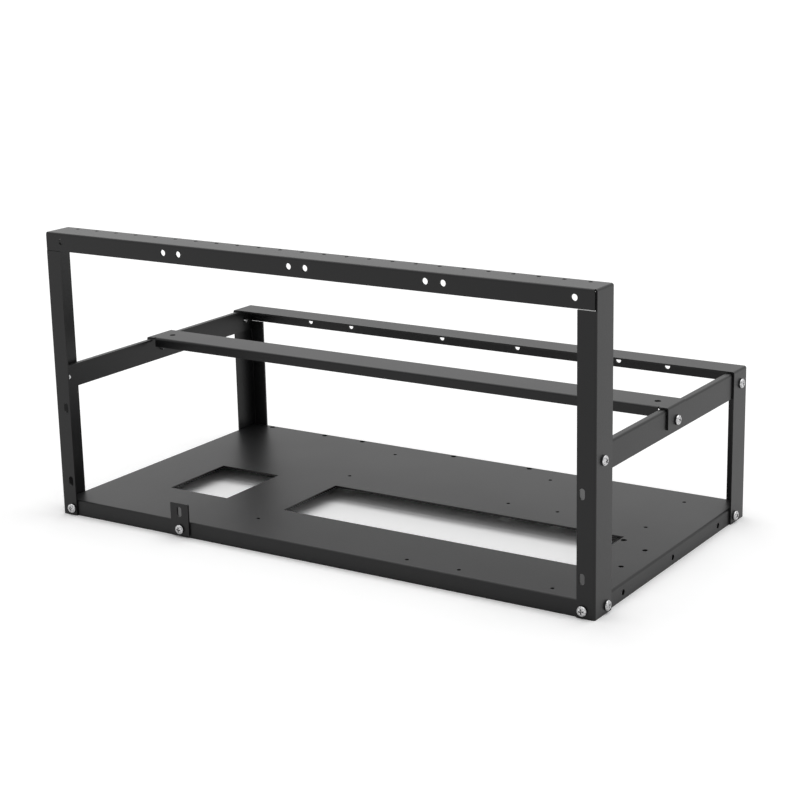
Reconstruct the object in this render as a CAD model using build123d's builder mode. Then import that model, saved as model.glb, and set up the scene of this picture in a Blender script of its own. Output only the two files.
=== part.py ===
"""Open rack of folded sheet steel: it carries a row of graphics cards above a computer main board."""

import os

from build123d import *

# Driving dimensions in millimetres. X runs across the rack, Y from front to back and Z up.
# The origin is on the floor, under the middle of the rack.
rack_length = 499.0
rack_depth = 267.0
front_height = 239.0
rear_height = 127.5

# The sheet and its folds.
sheet = 1.5
inner_bend = 0.3
seam = 0.5
corner_setback = 1.6
corner_cover = 1.3
relief_width = 1.0
slot_width = 4.4
slot_length = 8.4

# The two hoops that stand at the front and at the rear.
hoop_depth = 26.0
post_flange = 14.7
front_rail_flange = 14.7
rear_rail_flange = 14.5
post_slot_inset = 10.5
post_slot_heights = (29.5, 92.5)

# Fan holes in the front rail, card holes in its top and cable holes in the rear rail.
fan_size = 120.0
fan_count = 4
fan_hole_pitch = 105.0
fan_hole = 5.0
fan_hole_drop = 7.0
card_pitch = 20.32
card_count = 24
card_hole = 3.2
card_hole_inset = 4.0
rear_hole = 5.0
rear_hole_drop = 8.6
rear_hole_spans = (76.2, 270.0, 359.6)

# The rails that run from hoop to hoop, and the rail that crosses them.
side_rail_height = 20.5
side_rail_lip = 5.4
side_rail_end_gap = 0.5
rail_screw_drop = 10.5
rail_screw_inset = 12.5
middle_rail_width = 31.0
middle_rail_flange = 8.0
middle_flange_inset = 9.0
middle_tab_height = 17.0
middle_screw_drop = 12.5
middle_hole = 5.2
middle_hole_inset = 16.0

# The base tray, its two windows and its holes.
tray_height = 13.0
tray_corner_gap = 0.5
window_rear = 6.0
small_window_left = -188.5
small_window_size = (60.0, 72.5)
large_window_left = -68.5
large_window_size = (272.0, 75.0)
board_left = -73.5
board_rear = 107.0
board_columns = (0.0, 157.48, 203.2, 281.94)
board_rows = (0.0, 72.39, 227.33)
board_hole = 3.2
spare_board_hole_y = -96.5
tie_hole = 5.0
tie_hole_inset = 6.1
tie_hole_places = (-224.4, -164.4, -122.4, -24.6, 52.4)
lead_hole_gap = 3.4
lead_hole_drop = 7.2
clip_hole = 4.2
clip_hole_x = 231.4
clip_hole_places = (-55.5, -14.6)
side_hole = 4.5
side_hole_height = 5.7
side_hole_pitch = 85.2

# The small upright bracket on the front of the tray.
bracket_x = -124.5
bracket_width = 18.0
bracket_bottom = 1.2
bracket_height = 27.0
bracket_corner = 1.0
bracket_screw_height = 6.5
bracket_slot_height = 21.0

# The screws. The outer sheet has a clear hole for each, and the inner sheet a tapped one.
screw_diameter = 4.0
screw_length = 5.0
screw_hole = 4.4
head_diameter = 8.0
head_height = 2.6
head_chamfer = 1.1
foot_height = 6.0
foot_side_inset = 18.5
foot_face_inset = 10.0

# Sizes that follow from the driving dimensions.
half_length = rack_length / 2
half_depth = rack_depth / 2
fold = inner_bend + sheet
rail_top = rear_height - sheet
rail_face = half_length - sheet
front_face = Plane((0, -half_depth, 0), x_dir=(1, 0, 0), z_dir=(0, -1, 0))


def folded_section(plane, *corners):
    """Section of a folded sheet: its outside line with round folds, and the sheet to the right of it."""
    with BuildSketch(plane) as section:
        with BuildLine():
            FilletPolyline(*corners, radius=fold)
            offset(amount=sheet, side=Side.RIGHT)
        make_face()
    return section.sketch


def seat(x, y, z, outward):
    """Place of a screw: a point on the outer sheet, and the way the screw's head looks."""
    return Plane((x, y, z), z_dir=outward).location


def screw_seats():
    """Every screwed joint of the rack, by name, with the seats of its screws."""
    seats = {}
    for side, side_name in ((-1, "left"), (1, "right")):
        for end, end_name in ((-1, "front"), (1, "rear")):
            seats[f"{end_name}_{side_name}_foot"] = [
                seat(side * half_length, end * (half_depth - foot_side_inset), foot_height, (side, 0, 0)),
                seat(side * (half_length - foot_face_inset), end * half_depth, foot_height, (0, end, 0)),
            ]
        screw_z = rail_top - rail_screw_drop
        screw_y = half_depth - rail_screw_inset
        seats[f"{side_name}_rail_ends"] = [
            seat(side * half_length, end * screw_y, screw_z, (side, 0, 0)) for end in (-1, 1)
        ]
        seats[f"middle_rail_{side_name}"] = [
            seat(side * half_length, 0, rear_height - middle_screw_drop, (side, 0, 0)),
        ]
    seats["bracket"] = [seat(bracket_x, -half_depth, bracket_screw_height, (0, -1, 0))]
    return seats


def drill(seats, diameter):
    """Drill a sheet at every screw seat that meets it."""
    with Locations(*[place for places in seats.values() for place in places]):
        Hole(radius=diameter / 2, depth=screw_length)


def hoop(height, rail_flange):
    """Front hoop: one strip folded down at both ends, with a flange along the rail and along each post."""
    face = -half_depth
    rail_half = half_length - fold
    post_top = height - rail_flange - seam
    strip = folded_section(
        Plane.XZ, (-half_length, 0), (-half_length, height), (half_length, height), (half_length, 0)
    )
    rail = folded_section(
        Plane.YZ.offset(-rail_half), (face, height - rail_flange), (face, height), (face + hoop_depth, height)
    )
    left_post = folded_section(
        Plane.XY, (post_flange - half_length, face), (-half_length, face), (-half_length, face + hoop_depth)
    )
    with BuildPart() as frame:
        # The strip stands back from the front face where the corners are left open.
        extrude(strip.moved(Location((0, face + corner_setback, 0))), hoop_depth - corner_setback, dir=(0, 1, 0))
        with Locations((0, face, height)):
            Box(2 * rail_half, 2 * fold, 2 * fold, mode=Mode.SUBTRACT)
        with Locations((-half_length, face, 0), (half_length, face, 0)):
            Box(2 * fold, 2 * fold, 2 * post_top, mode=Mode.SUBTRACT)
        extrude(rail, 2 * rail_half)
        # The flange's ends reach across the strip's cut edges, which lie just behind it.
        with Locations((0, face, height - rail_flange)):
            Box(
                2 * (half_length - corner_cover),
                sheet,
                rail_flange - fold,
                align=(Align.CENTER, Align.MIN, Align.MIN),
            )
        extrude(left_post, post_top)
        extrude(left_post.mirror(Plane.YZ), post_top, dir=(0, 0, 1))
    return frame.part


seats = screw_seats()
os.makedirs("parts", exist_ok=True)


def save(piece, name):
    """Label a finished piece and write it to its own file."""
    piece.part.label = name
    export_step(piece.part, f"parts/{name}.step")


# The front hoop carries the fans on its face and the card brackets on its top.
with BuildPart() as front_frame:
    add(hoop(front_height, front_rail_flange))
    with BuildSketch(front_face):
        with Locations((0, front_height - fan_hole_drop)):
            with GridLocations(fan_size, 0, fan_count, 1):
                with GridLocations(fan_hole_pitch, 0, 2, 1):
                    Circle(fan_hole / 2)
        for slot_height in post_slot_heights:
            with Locations((0, slot_height)):
                with GridLocations(2 * (half_length - post_slot_inset), 0, 2, 1):
                    SlotOverall(slot_length, slot_width, rotation=90)
    extrude(amount=-sheet, mode=Mode.SUBTRACT)
    with BuildSketch(Plane.XY.offset(front_height)):
        with Locations((0, hoop_depth - card_hole_inset - half_depth)):
            with GridLocations(card_pitch, 0, card_count, 1):
                Circle(card_hole / 2)
    extrude(amount=-sheet, mode=Mode.SUBTRACT)
    drill(seats, screw_hole)
save(front_frame, "front_frame")

# The rear hoop is the same folding, lower and turned about, with cable holes in its rail.
with BuildPart() as rear_frame:
    add(hoop(rear_height, rear_rail_flange).mirror(Plane.XZ))
    with BuildSketch(Plane.XZ.offset(-half_depth)):
        for span in rear_hole_spans:
            with Locations((0, rear_height - rear_hole_drop)):
                with GridLocations(span, 0, 2, 1):
                    Circle(rear_hole / 2)
    extrude(amount=sheet, mode=Mode.SUBTRACT)
    drill(seats, screw_hole)
save(rear_frame, "rear_frame")

# Each side rail is a web with a short lip, laid inside the posts and under the rear rail.
side_rail_half = half_depth - fold - side_rail_end_gap
with BuildPart() as left_side_rail:
    web_bottom = rail_top - side_rail_height
    lip_edge = rail_face - side_rail_lip
    extrude(
        folded_section(
            Plane.XZ.offset(side_rail_half), (-rail_face, web_bottom), (-rail_face, rail_top), (-lip_edge, rail_top)
        ),
        2 * side_rail_half,
        dir=(0, 1, 0),
    )
    drill(seats, screw_diameter)
save(left_side_rail, "left_side_rail")

with BuildPart() as right_side_rail:
    add(left_side_rail.part.mirror(Plane.YZ))
save(right_side_rail, "right_side_rail")

# The middle rail lies on the side rails' lips, with a tab down the outside of each of them.
middle_face = -middle_rail_width / 2
flange_half = half_length - middle_flange_inset
with BuildPart() as middle_rail:
    tab_bottom = rear_height - middle_tab_height
    extrude(
        folded_section(
            Plane.XZ.offset(-middle_face),
            (-half_length, tab_bottom),
            (-half_length, rear_height),
            (half_length, rear_height),
            (half_length, tab_bottom),
        ),
        middle_rail_width,
        dir=(0, 1, 0),
    )
    with Locations((0, middle_face, rear_height)):
        Box(2 * (flange_half + relief_width), 2 * fold, 2 * fold, mode=Mode.SUBTRACT)
    extrude(
        folded_section(
            Plane.YZ.offset(-flange_half),
            (middle_face, rear_height - middle_rail_flange),
            (middle_face, rear_height),
            (-middle_face, rear_height),
        ),
        2 * flange_half,
    )
    with BuildSketch(Plane.XY.offset(rear_height)):
        with GridLocations(2 * (half_length - middle_hole_inset), 0, 2, 1):
            Circle(middle_hole / 2)
    extrude(amount=-sheet, mode=Mode.SUBTRACT)
    drill(seats, screw_hole)
save(middle_rail, "middle_rail")

# The base tray is folded down on all four sides, one sheet inside the posts.
tray_half_x = rail_face
tray_half_y = half_depth - sheet
with BuildPart() as base_tray:
    span_x = tray_half_x - fold - tray_corner_gap
    span_y = tray_half_y - fold - tray_corner_gap
    across = ((-tray_half_x, 0), (-tray_half_x, tray_height), (tray_half_x, tray_height), (tray_half_x, 0))
    along = ((-tray_half_y, 0), (-tray_half_y, tray_height), (tray_half_y, tray_height), (tray_half_y, 0))
    extrude(folded_section(Plane.XZ.offset(span_y), *across), 2 * span_y, dir=(0, 1, 0))
    extrude(folded_section(Plane.YZ.offset(-span_x), *along), 2 * span_x)
    with BuildSketch(Plane.XY.offset(tray_height)):
        for left, size in ((small_window_left, small_window_size), (large_window_left, large_window_size)):
            with Locations((left, window_rear)):
                Rectangle(*size, align=(Align.MIN, Align.MAX))
        # The rear row of a standard board has no hole in the third column, and the front row none in the first.
        left_out = ((board_columns[2], board_rows[0]), (board_columns[0], board_rows[-1]))
        for row in board_rows:
            for column in board_columns:
                if (column, row) not in left_out:
                    with Locations((board_left + column, board_rear - row)):
                        Circle(board_hole / 2)
        with Locations((board_left, spare_board_hole_y)):
            Circle(board_hole / 2)
        with Locations(*[(x, half_depth - tie_hole_inset) for x in tie_hole_places]):
            Circle(tie_hole / 2)
        window_right = large_window_left + large_window_size[0]
        with Locations((window_right + lead_hole_gap, window_rear - lead_hole_drop)):
            Circle(tie_hole / 2)
        with Locations(*[(clip_hole_x, y) for y in clip_hole_places]):
            Circle(clip_hole / 2)
    extrude(amount=-sheet, mode=Mode.SUBTRACT)
    with BuildSketch(Plane.YZ.offset(tray_half_x)):
        with Locations((0, side_hole_height)):
            with GridLocations(side_hole_pitch, 0, 3, 1):
                Circle(side_hole / 2)
    extrude(amount=-rack_length, mode=Mode.SUBTRACT)
    drill(seats, screw_diameter)
save(base_tray, "base_tray")

# The bracket is a flat strip screwed to the front flange of the tray, with a slot above the tray.
with BuildPart() as front_bracket:
    with BuildSketch(front_face):
        with Locations((bracket_x, bracket_bottom + bracket_height / 2)):
            RectangleRounded(bracket_width, bracket_height, bracket_corner)
        with Locations((bracket_x, bracket_slot_height)):
            SlotOverall(slot_length, slot_width, rotation=90, mode=Mode.SUBTRACT)
    extrude(amount=-sheet)
    drill(seats, screw_hole)
save(front_bracket, "front_bracket")

# One screw: a low head with a broad chamfer on a plain shank, with the head's underside at the origin.
with BuildPart() as screw:
    Cylinder(head_diameter / 2, head_height, align=(Align.CENTER, Align.CENTER, Align.MIN))
    chamfer(screw.edges().sort_by(Axis.Z)[-1], head_chamfer)
    Cylinder(screw_diameter / 2, screw_length, align=(Align.CENTER, Align.CENTER, Align.MAX))

for joint, places in seats.items():
    with BuildPart() as group:
        with Locations(*places):
            add(screw.part)
    save(group, f"{joint}_screws")
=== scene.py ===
"""Looks of the graphics card holder rack: folded steel in satin black powder coat, and bright screws."""

import math

import bmesh
import bpy
import numpy as np
from mathutils import Matrix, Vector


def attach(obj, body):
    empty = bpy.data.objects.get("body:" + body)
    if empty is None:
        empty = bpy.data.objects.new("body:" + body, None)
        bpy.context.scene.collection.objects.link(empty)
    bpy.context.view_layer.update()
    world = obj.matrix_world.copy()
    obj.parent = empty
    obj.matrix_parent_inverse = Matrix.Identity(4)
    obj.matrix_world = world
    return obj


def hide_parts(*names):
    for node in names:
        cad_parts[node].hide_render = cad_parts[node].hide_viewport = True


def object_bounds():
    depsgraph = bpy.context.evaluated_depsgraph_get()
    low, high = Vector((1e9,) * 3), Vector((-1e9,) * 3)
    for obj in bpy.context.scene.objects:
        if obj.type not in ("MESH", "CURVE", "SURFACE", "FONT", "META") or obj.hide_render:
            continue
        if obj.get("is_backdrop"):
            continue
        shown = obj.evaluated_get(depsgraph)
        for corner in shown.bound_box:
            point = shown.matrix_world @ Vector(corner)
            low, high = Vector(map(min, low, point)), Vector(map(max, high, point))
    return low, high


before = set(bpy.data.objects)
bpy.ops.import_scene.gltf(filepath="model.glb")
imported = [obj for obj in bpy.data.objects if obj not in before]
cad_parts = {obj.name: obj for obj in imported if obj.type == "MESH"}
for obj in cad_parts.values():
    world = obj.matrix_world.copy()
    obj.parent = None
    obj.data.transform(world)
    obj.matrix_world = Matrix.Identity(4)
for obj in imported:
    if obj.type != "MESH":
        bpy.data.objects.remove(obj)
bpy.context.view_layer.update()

# The base tray: one plate of 1.5 mm cold rolled steel. Its windows and board holes are cut by laser, and its
# four sides are folded down on a press brake. It is sprayed with black polyester powder, which is baked on.
MM = 0.001
POWDER_BLACK = "0b0b0c"
POWDER_IOR = 1.375
TRAY_ROUGHNESS = 0.39
GLOSS_SWING = 0.02
GLOSS_CLOUD_MM = 60
ORANGE_PEEL_MM = 1.6
ORANGE_PEEL_HEIGHT_MM = 0.03
POWDER_GRAIN_MM = 0.22
POWDER_GRAIN_HEIGHT_MM = 0.008


def linear(hex_colour):
    """A colour written as sRGB hex, as the linear colour that a shader takes."""
    levels = np.array([int(hex_colour[i : i + 2], 16) for i in (0, 2, 4)]) / 255
    linear_levels = np.where(levels <= 0.04045, levels / 12.92, ((levels + 0.055) / 1.055) ** 2.4)
    return (*linear_levels.tolist(), 1.0)


def new_material(name):
    """An empty material and its output node."""
    material = bpy.data.materials.new(name)
    material.use_nodes = True
    material.node_tree.nodes.clear()
    return material, material.node_tree.nodes.new("ShaderNodeOutputMaterial")


def add_node(material, kind, settings=None, **links):
    """One node of a material or of the room, with its settings, and its inputs linked or set to values."""
    node = material.node_tree.nodes.new(kind)
    for name, value in (settings or {}).items():
        setattr(node, name, value)
    for name, value in links.items():
        socket = node.inputs[name.replace("_", " ")]
        if isinstance(value, bpy.types.NodeSocket):
            material.node_tree.links.new(value, socket)
        else:
            socket.default_value = value
    return node


def powder_coat(name, roughness):
    """Baked polyester powder: a black skin with a satin gloss that wanders a little over a few centimetres.

    Seen straight on it is nearly black, and at a slant it mirrors the room as a soft grey. The powder's flow
    leaves a faint orange peel. Its single grains are about 0.05 mm across and would not show, so they are
    drawn four times as coarse, as a fine roughness of the skin.
    """
    material, output = new_material(name)
    place = add_node(material, "ShaderNodeTexCoord").outputs["Object"]
    cloud = add_node(
        material,
        "ShaderNodeTexNoise",
        Vector=place,
        Scale=1 / (GLOSS_CLOUD_MM * MM),
        Detail=2.0,
    )
    gloss = add_node(
        material,
        "ShaderNodeMapRange",
        Value=cloud.outputs["Fac"],
        To_Min=roughness - GLOSS_SWING,
        To_Max=roughness + GLOSS_SWING,
    )
    peel = add_node(
        material,
        "ShaderNodeTexNoise",
        Vector=place,
        Scale=1 / (ORANGE_PEEL_MM * MM),
        Detail=1.0,
    )
    grain = add_node(
        material,
        "ShaderNodeTexNoise",
        Vector=place,
        Scale=1 / (POWDER_GRAIN_MM * MM),
        Detail=1.0,
    )
    peel_bump = add_node(
        material,
        "ShaderNodeBump",
        Height=peel.outputs["Fac"],
        Strength=1.0,
        Distance=ORANGE_PEEL_HEIGHT_MM * MM,
    )
    grain_bump = add_node(
        material,
        "ShaderNodeBump",
        Height=grain.outputs["Fac"],
        Strength=1.0,
        Distance=POWDER_GRAIN_HEIGHT_MM * MM,
        Normal=peel_bump.outputs["Normal"],
    )
    coat = add_node(
        material,
        "ShaderNodeBsdfPrincipled",
        Base_Color=linear(POWDER_BLACK),
        Roughness=gloss.outputs["Result"],
        IOR=POWDER_IOR,
        Normal=grain_bump.outputs["Normal"],
    )
    material.node_tree.links.new(coat.outputs["BSDF"], output.inputs["Surface"])
    return material


def finish_sheet(sheet, material):
    """Gives a folded sheet its finish all over."""
    sheet_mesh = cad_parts[sheet].data
    sheet_mesh.materials.clear()
    sheet_mesh.materials.append(material)


finish_sheet("base_tray", powder_coat("black_powder_coat_on_tray", TRAY_ROUGHNESS))

# The front hoop: one strip of the same sheet, folded down at both ends into two posts, with a flange round
# its front. The flange carries the fans and the top the cards' brackets. Its coat is a little glossier.
FRONT_HOOP_ROUGHNESS = 0.33
finish_sheet("front_frame", powder_coat("black_powder_coat_on_front_hoop", FRONT_HOOP_ROUGHNESS))

# The rear hoop: a lower strip of the same sheet, folded the same way, with its flange at the back and six
# cable holes along its rail. Its coat is a little glossier than the tray's.
RAIL_ROUGHNESS = 0.37
rail_coat = powder_coat("black_powder_coat_on_rails", RAIL_ROUGHNESS)
finish_sheet("rear_frame", rail_coat)

# The side rails: two strips of the same sheet, each folded to an angle with a short lip. They are screwed
# inside the posts and tie the two hoops together, and their coat is the rear hoop's.
for side_rail in ("left_side_rail", "right_side_rail"):
    finish_sheet(side_rail, rail_coat)

# The middle rail: a strip of the same sheet with a flange folded down along its front and a tab at each end.
# It lies on the side rails, holds up the cards' far ends and has the rear hoop's coat.
finish_sheet("middle_rail", rail_coat)

# The front bracket: a short flat strip with a slot, cut from the same sheet and coated with the rails. One
# screw holds it to the tray's front flange.
finish_sheet("front_bracket", rail_coat)

# The screws: M4 pan heads with a cross recess, cold headed from steel wire, rolled with a thread and nickel
# plated. Each passes through the outer sheet into a tapped hole in the inner one, where its end shows
# bright, or, on the middle rail's two, is painted dark as shade.
NICKEL_BRIGHT = "dededf"
NICKEL_SMUDGED = "828283"
# Painted shade: the plate is darkened toward this colour in the recess, round the rim and at the middle
# rail's screw ends.
NICKEL_IN_SHADE = "424243"
SMUDGE_MM = 0.9
SMUDGE_FROM, SMUDGE_TO = 0.35, 0.65
ROUGHNESS_BRIGHT, ROUGHNESS_MARKED = 0.1, 0.22
HANDLING_MARK_MM = 0.5
HANDLING_MARK_HEIGHT_MM = 0.004
HEAD_HEIGHT_MM = 2.6
RIM_HEIGHT_SHARE = 0.3
RIM_CHAMFER_MM = 0.1
RIM_CHAMFER_HEIGHT_MM = 0.12
RIM_SHADE = 0.8
RIM_SHADE_START = 0.99
DARK_END_SHADE = 1.0
DOME_LINES = (0.72, 0.8, 0.87, 0.93, 0.97, 1)
RECESS_ARM_MM = 2.1
RECESS_ARM_LINES = 6
RECESS_HALF_WIDTH_MM = 0.55
RECESS_DEPTH_MM = 1.3
RECESS_WALL_MM = 0.16
RECESS_FLOOR_RISE = 0.5
RECESS_SHADE = 0.5
RECESS_TURN_DEGREES = 137.5
SECOND_SCREW_TURN_SHARE = 0.4
NECK_CHAMFER_MM = 0.2
SHANK_RADIUS_MM = 2.0
POINT_CHAMFER_MM = 0.6
THREAD_PITCH_MM = 0.7
THREAD_DEPTH_MM = 0.3
THREAD_START_MM = 2.6
THREAD_RUN_OUT_MM = 0.3
THREAD_RINGS_A_TURN = 10
SHARP_EDGE_DEGREES = 35
JOINED_WITHIN_MM = 0.001


def nickel_plate(name):
    """Bright nickel on steel: a mirror that fine handling marks and smudges break up.

    The attribute shade says where painted shade keeps the plate dark and dull to the eye: in the cross
    recess, round the rim, where it stands for a dark reflection of the sheet beside the head, and at the
    ends of the middle rail's two.
    """
    material, output = new_material(name)
    place = add_node(material, "ShaderNodeTexCoord").outputs["Object"]
    shade = add_node(material, "ShaderNodeAttribute", {"attribute_name": "shade"}).outputs["Fac"]
    marks = add_node(
        material,
        "ShaderNodeTexNoise",
        Vector=place,
        Scale=1 / (HANDLING_MARK_MM * MM),
        Detail=3.0,
    )
    dull = add_node(
        material,
        "ShaderNodeMapRange",
        Value=marks.outputs["Fac"],
        To_Min=ROUGHNESS_BRIGHT,
        To_Max=ROUGHNESS_MARKED,
    )
    cloud = add_node(
        material,
        "ShaderNodeTexNoise",
        Vector=place,
        Scale=1 / (SMUDGE_MM * MM),
        Detail=3.0,
    )
    smudge = add_node(
        material,
        "ShaderNodeMapRange",
        Value=cloud.outputs["Fac"],
        From_Min=SMUDGE_FROM,
        From_Max=SMUDGE_TO,
    )
    plate = add_node(
        material,
        "ShaderNodeMixRGB",
        Fac=smudge.outputs["Result"],
        Color1=linear(NICKEL_BRIGHT),
        Color2=linear(NICKEL_SMUDGED),
    )
    colour = add_node(
        material,
        "ShaderNodeMixRGB",
        Fac=shade,
        Color1=plate.outputs["Color"],
        Color2=linear(NICKEL_IN_SHADE),
    )
    bump = add_node(
        material,
        "ShaderNodeBump",
        Height=marks.outputs["Fac"],
        Strength=1.0,
        Distance=HANDLING_MARK_HEIGHT_MM * MM,
    )
    metal = add_node(
        material,
        "ShaderNodeBsdfPrincipled",
        Base_Color=colour.outputs["Color"],
        Metallic=1.0,
        Roughness=dull.outputs["Result"],
        Normal=bump.outputs["Normal"],
    )
    material.node_tree.links.new(metal.outputs["BSDF"], output.inputs["Surface"])
    return material


def solid_boxes(node):
    """Lowest and highest corners of each separate solid of a node, found by walking its joined triangles."""
    joined = bmesh.new()
    joined.from_mesh(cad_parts[node].data)
    bmesh.ops.remove_doubles(joined, verts=joined.verts, dist=JOINED_WITHIN_MM * MM)
    waiting = set(joined.verts)
    boxes = []
    while waiting:
        reached, solid = [waiting.pop()], []
        while reached:
            corner = reached.pop()
            solid.append(corner.co[:])
            near = {edge.other_vert(corner) for edge in corner.link_edges} & waiting
            waiting -= near
            reached.extend(near)
        boxes.append((np.min(solid, axis=0), np.max(solid, axis=0)))
    joined.free()
    return sorted(boxes, key=lambda box: box[0].tolist())


def turned_outward(points, seat, axis):
    """Points of a screw along +Z, turned so that its head looks outward along an axis, and set at a seat."""
    outward = np.zeros(3)
    outward[axis] = math.copysign(1, seat[axis])
    up = np.array((0.0, 0.0, 1.0))
    across = np.cross(up, outward)
    return points @ np.array([across, up, outward]) + seat


def screw_surface(head_radius, shank_length, turn, end_shade):
    """A pan head screw along +Z, seated at zero, in metres: its top is a square grid drawn out to a disc.

    Grid point (u, v) goes to x = u sqrt(1 - v v / 2), y = v sqrt(1 - u u / 2). The dome falls as the root of
    one less the fourth power of the distance from the axis. The recess is a cross of two arms with sloping
    walls, whose floors fall evenly to the middle. The rim, underside and shank are rings round the disc's
    edge, and the thread is a triangular wave along a helix. Returns the points, the faces, and how far each
    point is in the shade: half in the recess, nearly all round the rim, and as given from thread to end.
    """
    arm, half_width = RECESS_ARM_MM * MM / head_radius, RECESS_HALF_WIDTH_MM * MM / head_radius
    wall = RECESS_WALL_MM * MM / head_radius
    half_grid = np.concatenate(
        [
            [0, 0.5 * half_width, half_width - wall, half_width, half_width + wall],
            np.linspace(half_width + 2 * wall, arm - 2 * wall, RECESS_ARM_LINES),
            [arm - wall, arm, arm + wall, *DOME_LINES],
        ]
    )
    grid = np.concatenate([-half_grid[:0:-1], half_grid])
    u, v = np.meshgrid(grid, grid, indexing="ij")
    x, y = u * np.sqrt(1 - v * v / 2), v * np.sqrt(1 - u * u / 2)
    distance = np.sqrt(x * x + y * y)
    dome = RIM_HEIGHT_SHARE + (1 - RIM_HEIGHT_SHARE) * np.sqrt(np.clip(1 - distance**4, 0, 1))
    long_way = np.maximum(abs(u), abs(v))
    short_way = np.minimum(abs(u), abs(v))
    recess = np.clip((half_width - short_way) / wall, 0, 1) * np.clip((arm - long_way) / (2 * wall), 0, 1)
    z = HEAD_HEIGHT_MM * dome - RECESS_DEPTH_MM * recess * (1 - RECESS_FLOOR_RISE * long_way / arm)
    top = np.stack([x * head_radius, y * head_radius, z * MM], axis=-1).reshape(-1, 3)
    index = np.arange(len(top)).reshape(len(grid), len(grid))
    quads = [index[:-1, :-1], index[1:, :-1], index[1:, 1:], index[:-1, 1:]]
    top_faces = np.stack(quads, axis=-1).reshape(-1, 4)
    edge = np.concatenate([index[:-1, 0], index[-1, :-1], index[:0:-1, -1], index[0, :0:-1]])
    angle = np.arctan2(top[edge, 1], top[edge, 0])

    shank_radius = SHANK_RADIUS_MM * MM
    neck_radius = shank_radius + NECK_CHAMFER_MM * MM
    head_z = [RIM_CHAMFER_HEIGHT_MM, 0, 0, -NECK_CHAMFER_MM]
    head_r = [head_radius, head_radius - RIM_CHAMFER_MM * MM, neck_radius, shank_radius]
    thread_end = shank_length / MM - THREAD_RUN_OUT_MM
    thread_z = np.arange(THREAD_START_MM, thread_end, THREAD_PITCH_MM / THREAD_RINGS_A_TURN)
    thread_r = np.full(len(thread_z), shank_radius)
    ring_z = np.concatenate([head_z, -thread_z, [-shank_length / MM]]) * MM
    ring_r = np.concatenate([head_r, thread_r, [shank_radius - POINT_CHAMFER_MM * MM]])
    ring_r = np.repeat(ring_r[:, None], len(edge), axis=1)
    wave = (ring_z[:, None] / (THREAD_PITCH_MM * MM) - angle / (2 * math.pi)) % 1
    groove = THREAD_DEPTH_MM * MM * abs(2 * wave - 1)
    threaded = slice(len(head_z), -1)
    ring_r[threaded] -= groove[threaded]
    rings = np.stack([ring_r * np.cos(angle), ring_r * np.sin(angle), ring_z[:, None] + 0 * ring_r], axis=-1)
    points = np.concatenate([top, rings.reshape(-1, 3)])
    rows = np.vstack([edge, np.arange(len(top), len(points)).reshape(len(ring_z), len(edge))])
    after = np.roll(rows, -1, axis=1)
    side_faces = np.stack([rows[:-1], rows[1:], after[1:], after[:-1]], axis=-1).reshape(-1, 4)
    faces = [*top_faces.tolist(), *side_faces.tolist(), rows[-1, ::-1].tolist()]

    cos, sin = math.cos(turn), math.sin(turn)
    points[:, :2] = points[:, :2] @ np.array([[cos, sin], [-sin, cos]])
    # Painted shade: the recess is darkened by half and the rim nearly all round, the rim as a painted dark
    # reflection of the sheet beside the head.
    top_shade = np.maximum(RECESS_SHADE * recess, RIM_SHADE * (distance > RIM_SHADE_START))
    shade = np.zeros(len(points))
    shade[: len(top)] = top_shade.ravel()
    shade[rows[1:3]] = RIM_SHADE
    shade[rows[len(head_z) + 1 :]] = end_shade
    return points, faces, shade


nickel = nickel_plate("bright_nickel_plate_on_steel")
recess_turn = math.radians(RECESS_TURN_DEGREES)
screw_nodes = sorted(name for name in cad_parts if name.endswith("_screws"))
for number, node in enumerate(screw_nodes):
    points, faces, shade = [], [], []
    # The middle rail's screws have their ends painted dark, as shade.
    end_shade = DARK_END_SHADE if node.startswith("middle_rail") else 0.0
    for low, high in solid_boxes(node):
        size = high - low
        axis = int(np.argmax(abs(size - np.median(size))))
        seat = (low + high) / 2
        seat[axis] += math.copysign(size[axis] / 2 - HEAD_HEIGHT_MM * MM, seat[axis])
        head_radius = np.median(size) / 2
        shank_length = size[axis] - HEAD_HEIGHT_MM * MM
        turn = recess_turn * (number + SECOND_SCREW_TURN_SHARE * bool(faces))
        new_points, new_faces, new_shade = screw_surface(head_radius, shank_length, turn, end_shade)
        start = sum(map(len, points))
        points.append(turned_outward(new_points, seat, axis))
        faces += [[corner + start for corner in face] for face in new_faces]
        shade.append(new_shade)
    name = node.replace("_screws", "_pan_heads")
    mesh = bpy.data.meshes.new(name)
    mesh.from_pydata(np.concatenate(points).tolist(), [], faces)
    mesh.polygons.foreach_set("use_smooth", np.ones(len(mesh.polygons), bool))
    mesh.set_sharp_from_angle(angle=math.radians(SHARP_EDGE_DEGREES))
    mesh.attributes.new("shade", "FLOAT", "POINT").data.foreach_set("value", np.concatenate(shade))
    mesh.materials.append(nickel)
    pan_heads = bpy.data.objects.new(name, mesh)
    bpy.context.scene.collection.objects.link(pan_heads)
    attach(pan_heads, "root")
    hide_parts(node)

# The floor: a sweep of matt white card, far wider than the rack, that takes its soft shadow. It isn't part of
# the rack. Where it is seen or mirrored it is a little brighter than where it lights the rack, so that the
# faint far end of the shadow doesn't grey the page.
FLOOR_WHITE = "fefefe"
FLOOR_HALF_WIDTH_METRES = 60.0
FLOOR_LIFT = 0.13


def seen_or_mirrored(material):
    """One for a ray from the camera, a gloss or a glass, and zero for the light that falls on the rack."""
    ray = add_node(material, "ShaderNodeLightPath")
    either = ray.outputs["Is Camera Ray"]
    for mirrored in ("Is Glossy Ray", "Is Transmission Ray"):
        larger = add_node(material, "ShaderNodeMath", {"operation": "MAXIMUM"})
        material.node_tree.links.new(either, larger.inputs[0])
        material.node_tree.links.new(ray.outputs[mirrored], larger.inputs[1])
        either = larger.outputs["Value"]
    return either


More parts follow.
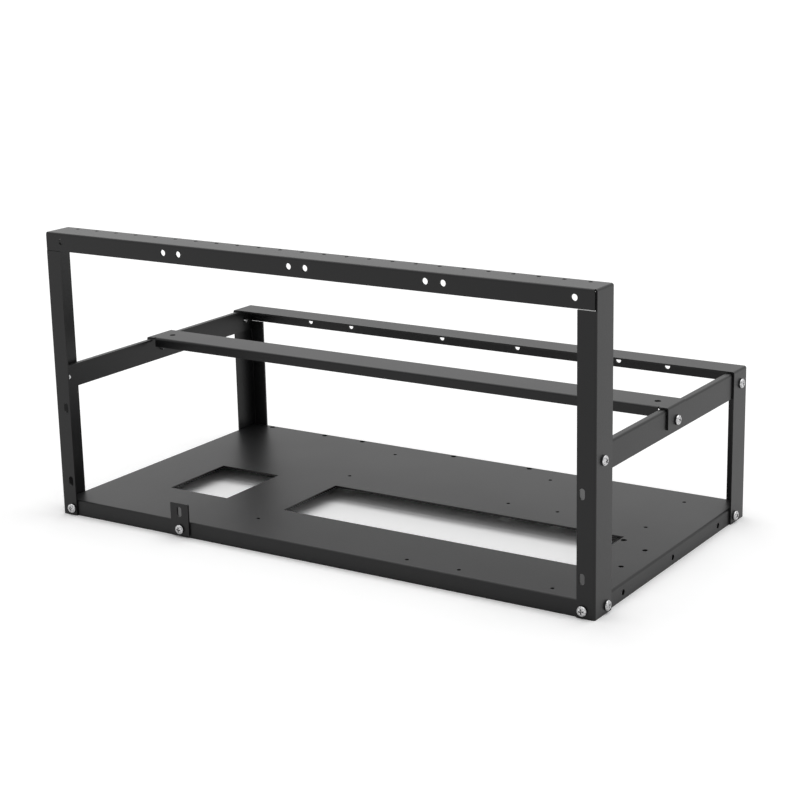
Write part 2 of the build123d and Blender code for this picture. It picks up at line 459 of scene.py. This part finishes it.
floor_mesh = bpy.data.meshes.new("studio_floor")
floor_corners = np.array([(-1, -1, 0), (1, -1, 0), (1, 1, 0), (-1, 1, 0)]) * FLOOR_HALF_WIDTH_METRES
floor_mesh.from_pydata(floor_corners.tolist(), [], [(0, 1, 2, 3)])
studio_white, floor_output = new_material("matt_white_studio_sweep")
matt = add_node(studio_white, "ShaderNodeBsdfDiffuse", Color=linear(FLOOR_WHITE))
lifted = add_node(studio_white, "ShaderNodeBsdfDiffuse", Color=(FLOOR_LIFT, FLOOR_LIFT, FLOOR_LIFT, 1))
unlifted = add_node(studio_white, "ShaderNodeBsdfDiffuse", Color=(0, 0, 0, 1))
lift = add_node(studio_white, "ShaderNodeMixShader", Fac=seen_or_mirrored(studio_white))
matt_and_lift = add_node(studio_white, "ShaderNodeAddShader")
for shader, socket in (
    (unlifted.outputs["BSDF"], lift.inputs[1]),
    (lifted.outputs["BSDF"], lift.inputs[2]),
    (matt.outputs["BSDF"], matt_and_lift.inputs[0]),
    (lift.outputs["Shader"], matt_and_lift.inputs[1]),
    (matt_and_lift.outputs["Shader"], floor_output.inputs["Surface"]),
):
    studio_white.node_tree.links.new(shader, socket)
floor_mesh.materials.append(studio_white)
studio_floor = bpy.data.objects.new("studio_floor", floor_mesh)
bpy.context.scene.collection.objects.link(studio_floor)
studio_floor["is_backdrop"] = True

# The light: a plain white room, and a wide soft light overhead, tilted a little to the rear, that reaches the
# floor under the rack. Together they light the open floor to its own white. Where the room is seen or
# mirrored it is full white.
ROOM_LIGHT = 0.54
OVERHEAD_LIGHT = 0.46
OVERHEAD_SPREAD_DEGREES = 75
OVERHEAD_TILT_DEGREES = 15
room = bpy.data.worlds.new("white_room")
bpy.context.scene.world = room
room.use_nodes = True
room.node_tree.nodes.clear()
room_output = add_node(room, "ShaderNodeOutputWorld")
strength = add_node(
    room,
    "ShaderNodeMapRange",
    Value=seen_or_mirrored(room),
    To_Min=ROOM_LIGHT,
    To_Max=1.0,
)
sky = add_node(room, "ShaderNodeBackground", Color=(1, 1, 1, 1), Strength=strength.outputs["Result"])
room.node_tree.links.new(sky.outputs["Background"], room_output.inputs["Surface"])

overhead_tilt = math.radians(OVERHEAD_TILT_DEGREES)
lamp_data = bpy.data.lights.new("overhead_light", "SUN")
lamp_data.energy = OVERHEAD_LIGHT * math.pi / math.cos(overhead_tilt)
lamp_data.angle = math.radians(OVERHEAD_SPREAD_DEGREES)
overhead_light = bpy.data.objects.new("overhead_light", lamp_data)
overhead_light.rotation_euler = (-overhead_tilt, 0, 0)
bpy.context.scene.collection.objects.link(overhead_light)

# The camera: a long lens at the front right, a little above the rack, as the reference was taken. Its place,
# its lens and its angles, in radians, were solved from the rack's own corners and holes.
FOCAL_PIXELS = 1905.3
FRAME_PIXELS = 800
SENSOR_MM = 36.0
AZIMUTH, ELEVATION, ROLL = 0.55522, 0.25775, -0.016003
CAMERA_PLACE_MM = (822.6, -1259.8, 502.8)
PRINCIPAL_PIXEL = (440, 390)
camera_data = bpy.data.cameras.new("camera")
camera_data.sensor_width = SENSOR_MM
camera_data.lens = FOCAL_PIXELS * SENSOR_MM / FRAME_PIXELS
camera_data.shift_x = (FRAME_PIXELS / 2 - PRINCIPAL_PIXEL[0]) / FRAME_PIXELS
camera_data.shift_y = (PRINCIPAL_PIXEL[1] - FRAME_PIXELS / 2) / FRAME_PIXELS
level = np.array([math.sin(AZIMUTH), -math.cos(AZIMUTH), 0.0])
level_right = np.array([math.cos(AZIMUTH), math.sin(AZIMUTH), 0.0])
back = math.cos(ELEVATION) * level + np.array([0.0, 0.0, math.sin(ELEVATION)])
level_up = np.cross(back, level_right)
right = math.cos(ROLL) * level_right + math.sin(ROLL) * level_up
up = math.cos(ROLL) * level_up - math.sin(ROLL) * level_right
camera = bpy.data.objects.new("camera", camera_data)
bpy.context.scene.collection.objects.link(camera)
turn_and_place = np.eye(4)
turn_and_place[:3, :3] = np.stack([right, up, back], axis=1)
turn_and_place[:3, 3] = np.array(CAMERA_PLACE_MM) * MM
camera.matrix_world = Matrix(turn_and_place.tolist())
bpy.context.scene.camera = camera
bpy.context.scene.view_settings.view_transform = "Standard"

low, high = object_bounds()
